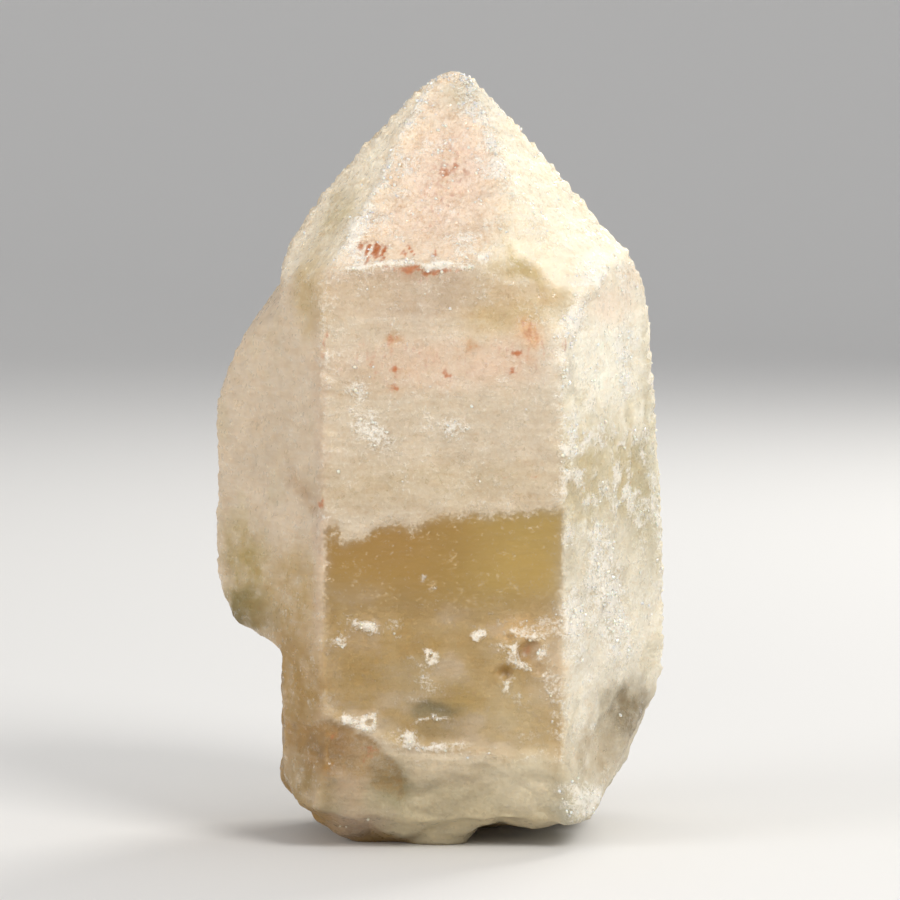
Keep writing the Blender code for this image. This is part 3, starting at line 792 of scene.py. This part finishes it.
class Wire:
    """One output of a material's nodes. Arithmetic on it adds Math nodes to the same material."""

    def __init__(self, tree, socket):
        self.tree = tree
        self.socket = socket

    def node(self, kind, settings, inputs, output=0):
        """Adds a node, sets its settings, fills or links its inputs, and gives one of its outputs, if any."""
        made = self.tree.nodes.new(kind)
        for name, value in settings.items():
            setattr(made, name, value)
        for name, value in inputs.items():
            if isinstance(value, Wire):
                self.tree.links.new(value.socket, made.inputs[name])
            else:
                made.inputs[name].default_value = value
        return None if output is None else Wire(self.tree, made.outputs[output])

    def math(self, operation, *others):
        """Arithmetic on this value and others."""
        return self.node("ShaderNodeMath", {"operation": operation}, dict(enumerate((self, *others))))

    def __add__(self, other):
        return self.math("ADD", other)

    __radd__ = __add__

    def __sub__(self, other):
        return self.math("SUBTRACT", other)

    def __rsub__(self, other):
        return (self * -1.0) + other

    def __mul__(self, other):
        return self.math("MULTIPLY", other)

    __rmul__ = __mul__

    def between(self, low, high):
        """From 0 at low to 1 at high, smoothly and no further."""
        settings = {"interpolation_type": "SMOOTHSTEP"}
        return self.node("ShaderNodeMapRange", settings, {"Value": self, 1: low, 2: high})

    def painted(self, name, output=2):
        """A value painted on the mesh, or with output 0 a colour."""
        return self.node("ShaderNodeAttribute", {"attribute_name": name}, {}, output)

    def noise(self, size, detail, roughness=0.6):
        """Noise with lumps of a size in millimetres, over the place that this wire carries."""
        inputs = {"Vector": self, "Scale": 1.0 / size, "Detail": detail, "Roughness": roughness}
        return self.node("ShaderNodeTexNoise", {}, inputs)

    def cells(self, size):
        """Random cells of a size in millimetres: the cell's own random colour, and the cell's middle."""
        tint = self.node("ShaderNodeTexVoronoi", {}, {"Vector": self, "Scale": 1.0 / size}, 1)
        return tint, Wire(self.tree, tint.socket.node.outputs[2])

    def vector(self, operation, other, output=0):
        """Arithmetic on this vector and another one. Output 1 gives a number, such as a dot product."""
        return self.node("ShaderNodeVectorMath", {"operation": operation}, {0: self, 1: other}, output)

    def mixed(self, other, share, blend="MIX"):
        """This colour with a share of the other one laid over it."""
        settings = {"data_type": "RGBA", "blend_type": blend}
        return self.node("ShaderNodeMix", settings, {0: share, 6: self, 7: other}, 2)


def new_material(mesh, name):
    """A new material on the mesh, without nodes, as the wire that starts them."""
    made = bpy.data.materials.new(name)
    made.use_nodes = True
    made.node_tree.nodes.clear()
    mesh.materials.append(made)
    return Wire(made.node_tree, None)


# The material: frosted quartz, which scatters light just under its skin, and clearer quartz in the window,
# between the mottles and on the breaks, over a faintly golden inside. Noise sizes are in millimetres.
QUARTZ_IOR = 1.544
FROST_DEPTH = 0.0013
FROST_SPREAD = (1.0, 0.72, 0.42)
FROST_SUBSURFACE = 0.5
FROST_TRANSMISSION = 0.08
FROST_ROUGHNESS = 0.6
GLINT_ROUGHNESS = 0.18
GLINT_SHARE = (0.86, 0.9)
WINDOW_ROUGHNESS = 0.26
WINDOW_TRANSMISSION = 0.45
INSIDE_COLOUR = (1.0, 0.78, 0.4, 1.0)
INSIDE_DENSITY = 30.0
LUMP_SIZE = 1.2
STREAK_SIZE = 0.55
DAB_SIZE = 0.4
GRAIN_SIZE = 0.38
FINE_SIZE = 0.15
CELL_SIZE = 0.4

start = new_material(skin_mesh, "frosted_quartz")
place = start.node("ShaderNodeTexCoord", {}, {}, 3)
place = place.node("ShaderNodeVectorMath", {"operation": "SCALE"}, {0: place, "Scale": 1.0 / MM})
tone_wire = start.painted("tone", 0)
under_wire = start.painted("under", 0)
clear_wire = start.painted("clear")
rust_wire = start.painted("rust")
crust_wire = start.painted("crust")
ragged_wire = start.painted("ragged")
grainy_wire = start.painted("grainy")
lumps = place.vector("MULTIPLY", (0.6, 0.6, 1.0)).noise(LUMP_SIZE, 2.0)
streaks = place.vector("MULTIPLY", (0.16, 0.16, 1.0)).noise(STREAK_SIZE, 1.0)
dabs = place.vector("MULTIPLY", (1.0, 1.0, 0.36)).noise(DAB_SIZE, 0.0, 0.5)
grain = place.noise(GRAIN_SIZE, 1.0)
fine = place.noise(FINE_SIZE, 0.0, 0.5)
sugar_tint, sugar_middle = place.cells(CELL_SIZE)
lean = sugar_tint.vector("SUBTRACT", (0.5, 0.5, 0.5))
facet = place.vector("SUBTRACT", sugar_middle).vector("DOT_PRODUCT", lean, output=1)
glinting = sugar_tint.vector("DOT_PRODUCT", (0.0, 0.0, 1.0), output=1).between(*GLINT_SHARE)
dim_cell = sugar_tint.vector("DOT_PRODUCT", (0.0, 1.0, 0.0), output=1)

# Noise gives the painted marks crisp, ragged edges
crusted = (crust_wire + (grain - 0.5) * 1.2 + (lumps - 0.5) * 0.9 + (fine - 0.5) * 0.5).between(0.26, 1.0)
rusted = (rust_wire + (grain - 0.5) * 1.0 + (dabs - 0.5) * 1.0 + (lumps - 0.5) * 0.4).between(0.3, 0.95)
ragged = (grain - 0.5) * 1.2 + (fine - 0.5) * 0.7 + (lumps - 0.5) * 1.0
cleared = (clear_wire + ragged * ragged_wire - crusted * 0.35).between(0.2, 0.92)
speckle = (grain - 0.5) * 1.6 + (fine - 0.5) * 0.8 + (dim_cell - 0.5) * 0.2
broad = (lumps - 0.5) * 0.8 + (streaks - 0.5) * 0.6
shade = speckle * grainy_wire + broad * (1.0 - clear_wire * 0.75)

# The colour: the tone, or the clearer stone's, darker and lighter by the noise, then crust and rust over it
bare = tone_wire.mixed(under_wire, cleared)
deeper = bare.mixed((*DEEPER, 1.0), 1.0, "MULTIPLY")
colour = bare.mixed(deeper, shade * -1.0)
colour = colour.mixed((*SUGAR_WHITE, 1.0), shade * 0.4)
colour = colour.mixed((*SUGAR_WHITE, 1.0), crusted * 0.75)
colour = colour.mixed((*RUST, 1.0), rusted * (rust_wire * 0.55 + 0.35))

# The fine relief: facets of sugar, grain, lumps and streaks, with the crust standing on top
sugar_height = (facet * 0.62 + (grain - 0.5) * 0.14 + fine * 0.04) * grainy_wire
height = sugar_height * (1.0 - cleared * 0.5) + (lumps - 0.5) * 0.14 + (streaks - 0.5) * 0.05
height = height + crusted * 0.08
bumps = start.node("ShaderNodeBump", {}, {"Strength": 1.0, "Distance": MM, "Height": height})
frost = start.node("ShaderNodeBsdfPrincipled", {"subsurface_method": "BURLEY"}, {
    "Base Color": colour,
    "Roughness": FROST_ROUGHNESS - glinting * (FROST_ROUGHNESS - GLINT_ROUGHNESS),
    "IOR": QUARTZ_IOR,
    "Normal": bumps,
    "Subsurface Weight": FROST_SUBSURFACE,
    "Subsurface Radius": FROST_SPREAD,
    "Subsurface Scale": FROST_DEPTH,
    "Transmission Weight": FROST_TRANSMISSION,
})
window_body = start.node("ShaderNodeBsdfPrincipled", {}, {
    "Base Color": colour,
    "Roughness": WINDOW_ROUGHNESS + grain * 0.15,
    "IOR": QUARTZ_IOR,
    "Normal": bumps,
    "Transmission Weight": WINDOW_TRANSMISSION,
})
surface = start.node("ShaderNodeMixShader", {}, {0: cleared, 1: frost, 2: window_body})
inside = start.node("ShaderNodeVolumeAbsorption", {}, {"Color": INSIDE_COLOUR, "Density": INSIDE_DENSITY})
start.node("ShaderNodeOutputMaterial", {}, {"Surface": surface, "Volume": inside}, None)
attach(crystal, "root")
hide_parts("quartz_crystal")

# The sugar: tiny quartz crystals that grew over the frosted skin, thickest in the white crusts. Each is a
# six-sided prism with a point at both ends, 0.2 to 0.4 mm across, that stands a little sunk in the surface.
SUGAR_RADII = (0.09, 0.2)
SUGAR_LENGTH = 1.5
SUGAR_SHOULDER = 0.4
SUGAR_SPREAD = 0.096
SUGAR_ON_CRUST = 0.22
SUGAR_ANYWHERE = 0.028
SUGAR_SUNK = 0.25
SUGAR_LEAN = 0.9
SUGAR_TONE = (1.0, 0.95, 0.84, 1.0)
SUGAR_ROUGHNESS = 0.25
SUGAR_SUBSURFACE = 0.7
SUGAR_DEPTH = 0.0006
DRAWS_PER_MM = 50.0
BARE_FOOT = 1.0


def double_points(centres, axes, radii, spins):
    """Six-sided prisms with a point at both ends: rings of the given radii at a share of the half length
    either side of the middle, and tips at the half length along each axis. Vertices and triangles."""
    side = np.cross(axes, np.where(np.abs(axes[:, :1]) > 0.7, (0.0, 1.0, 0.0), (1.0, 0.0, 0.0)))
    side = side / np.linalg.norm(side, axis=1, keepdims=True)
    other = np.cross(axes, side)
    angle = spins[:, None] + np.arange(6) * np.pi / 3.0
    ring = np.cos(angle)[..., None] * side[:, None] + np.sin(angle)[..., None] * other[:, None]
    rise = SUGAR_LENGTH * axes[:, None]
    shoulder = SUGAR_SHOULDER * rise
    shape = np.concatenate([-rise, ring - shoulder, ring + shoulder, rise], axis=1)
    low = np.arange(6) + 1
    low_next = np.roll(low, -1)
    foot = np.stack([np.zeros(6, int), low_next, low], axis=1)
    wall = np.stack([low, low_next, low_next + 6], axis=1)
    wall_too = np.stack([low, low_next + 6, low + 6], axis=1)
    head = np.stack([low + 6, low_next + 6, np.full(6, 13)], axis=1)
    triangles = np.concatenate([foot, wall, wall_too, head])
    vertices = centres[:, None] + radii[:, None, None] * shape
    return vertices, triangles + 14 * np.arange(len(centres))[:, None, None]


draws = np.stack([scatter(np.round(skin * DRAWS_PER_MM), seed) for seed in range(201, 208)], axis=-1)
chance = SUGAR_ANYWHERE * smooth(0.3, 0.9, grainy) + SUGAR_ON_CRUST * smooth(0.25, 0.9, crust)
chance = chance * (1.0 - 0.8 * face_share["tip_left_front"] - 0.8 * face_share["left_front"])
chance = chance * (1.0 - 0.8 * face_share["break_neck"] - 0.7 * on_shoulder) * (1.0 - 0.85 * window)
chance = chance * (skin[..., 2] > BARE_FOOT) * ends * (1.0 - 0.75 * hidden_side)
grown = (draws[..., 0] + 1.0) / 2.0 < chance
draw = draws[grown]
axes = normals[grown] + SUGAR_LEAN * draw[:, 1:4]
axes = axes / np.linalg.norm(axes, axis=1, keepdims=True)
radii = SUGAR_RADII[0] + (SUGAR_RADII[1] - SUGAR_RADII[0]) * ((draw[:, 4] + 1.0) / 2.0) ** 2
centres = skin[grown] - SUGAR_SUNK * radii[:, None] * normals[grown] + SUGAR_SPREAD * draw[:, [5, 6, 0]]
vertices, triangles = double_points(centres, axes, radii, np.pi * draw[:, 5])
sugar_mesh = bpy.data.meshes.new("sugar")
sugar_mesh.from_pydata((vertices.reshape(-1, 3) * MM).tolist(), [], triangles.reshape(-1, 3).tolist())
sugar_tone = np.repeat(np.concatenate([tone[grown], np.ones((len(draw), 1))], axis=1), 14, axis=0)
sugar_mesh.attributes.new("tone", "FLOAT_COLOR", "POINT").data.foreach_set(
    "color", np.clip(sugar_tone, 0.0, 1.0).astype(np.float32).ravel()
)
sugar = put("sugar", sugar_mesh)
grain_tone = new_material(sugar_mesh, "sugar").painted("tone", 0)
grain_body = grain_tone.node("ShaderNodeBsdfPrincipled", {}, {
    "Base Color": grain_tone.mixed(SUGAR_TONE, 0.6),
    "Roughness": SUGAR_ROUGHNESS,
    "IOR": QUARTZ_IOR,
    "Subsurface Weight": SUGAR_SUBSURFACE,
    "Subsurface Radius": FROST_SPREAD,
    "Subsurface Scale": SUGAR_DEPTH,
})
grain_body.node("ShaderNodeOutputMaterial", {}, {"Surface": grain_body}, None)
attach(sugar, "root")
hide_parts("quartz_crystal")

# The floor: one plain pale sheet that lies flat under the crystal and bends up into a backdrop behind it.
FLOOR_HALF_WIDTH = 4.0
FLOOR_FRONT_Y = -3.0
BEND_START_Y = 0.9
BEND_RADIUS = 0.8
BACKDROP_TOP = 3.2
BEND_POINTS = 24
FLOOR_ROUGHNESS = 0.8
FLOOR_COLOUR = (0.8, 0.79, 0.77, 1.0)


def sheet_profile(count):
    """(y, z) along the sheet: level to the bend's start, a quarter circle, then straight up to the top."""
    angle = np.linspace(0.0, np.pi / 2.0, count)
    bend_y = BEND_START_Y + BEND_RADIUS * np.sin(angle)
    bend = np.stack([bend_y, BEND_RADIUS * (1.0 - np.cos(angle))], axis=1)
    return np.concatenate([[[FLOOR_FRONT_Y, 0.0]], bend, [[BEND_START_Y + BEND_RADIUS, BACKDROP_TOP]]])


profile = sheet_profile(BEND_POINTS)
sides = np.array([-FLOOR_HALF_WIDTH, FLOOR_HALF_WIDTH])
places = np.broadcast_to(profile[:, None], (len(profile), 2, 2))
sheet = np.concatenate([np.broadcast_to(sides[None, :, None], (len(profile), 2, 1)), places], axis=-1)
corner = np.arange(len(profile) - 1)[:, None] * 2 + np.array([0, 1, 3, 2])
floor_mesh = bpy.data.meshes.new("floor")
floor_mesh.from_pydata(sheet.reshape(-1, 3).tolist(), [], corner.tolist())
floor_mesh.shade_smooth()
floor = put("floor", floor_mesh)
paper = bpy.data.materials.new("paper")
paper.use_nodes = True
paper_body = paper.node_tree.nodes["Principled BSDF"]
paper_body.inputs["Base Color"].default_value = FLOOR_COLOUR
paper_body.inputs["Roughness"].default_value = FLOOR_ROUGHNESS
floor_mesh.materials.append(paper)

# The camera: where the photograph was taken from, a little above the crystal's middle, with a long lens.
CAMERA_TARGET = (0.00105, 0.0, 0.03825)
CAMERA_RISE = 4.0
CAMERA_DISTANCE = 0.52
CAMERA_LENS = 208.0
CAMERA_SENSOR = 36.0
camera_data = bpy.data.cameras.new("camera")
camera_data.lens = CAMERA_LENS
camera_data.sensor_width = CAMERA_SENSOR
camera = put("camera", camera_data)
rise = math.radians(CAMERA_RISE)
camera.location = (
    CAMERA_TARGET[0],
    CAMERA_TARGET[1] - CAMERA_DISTANCE * math.cos(rise),
    CAMERA_TARGET[2] + CAMERA_DISTANCE * math.sin(rise),
)
camera.rotation_euler = (math.radians(90.0) - rise, 0.0, 0.0)
bpy.context.scene.camera = camera

# The light: a large soft key from the upper right in front, a weaker fill from the left, a soft light from
# behind that glows in the translucent edges, and a pale even surrounding. Each lamp as (place, size, power,
# colour).
LAMPS = {
    "key": ((0.36, -0.5, 0.46), 0.3, 3.1, (1.0, 0.985, 0.96)),
    "fill": ((-0.55, -0.36, 0.24), 0.4, 1.5, (1.0, 0.99, 0.98)),
    "glow": ((0.3, 0.46, 0.42), 0.3, 2.0, (1.0, 0.98, 0.94)),
}
LAMP_AIM = (0.0, 0.0, 0.04)
AIR_COLOUR = (0.96, 0.97, 1.0, 1.0)
AIR_STRENGTH = 0.5

for name, (position, size, power, colour) in LAMPS.items():
    lamp_data = bpy.data.lights.new(name, "AREA")
    lamp_data.shape = "DISK"
    lamp_data.size = size
    lamp_data.energy = power
    lamp_data.color = colour
    lamp = put(name, lamp_data)
    lamp.location = position
    aim = mathutils.Vector(LAMP_AIM) - mathutils.Vector(position)
    lamp.rotation_euler = aim.to_track_quat("-Z", "Y").to_euler()
world = bpy.data.worlds.new("studio")
world.use_nodes = True
air = world.node_tree.nodes["Background"]
air.inputs["Color"].default_value = AIR_COLOUR
air.inputs["Strength"].default_value = AIR_STRENGTH
bpy.context.scene.world = world
bpy.context.scene.view_settings.view_transform = "Standard"

# Short light paths are enough for frosted stone under three lamps
cycles = bpy.context.scene.cycles
cycles.use_denoising = True
cycles.max_bounces = 5
cycles.diffuse_bounces = 2
cycles.glossy_bounces = 2
cycles.transmission_bounces = 4
cycles.caustics_reflective = False
cycles.use_light_tree = False
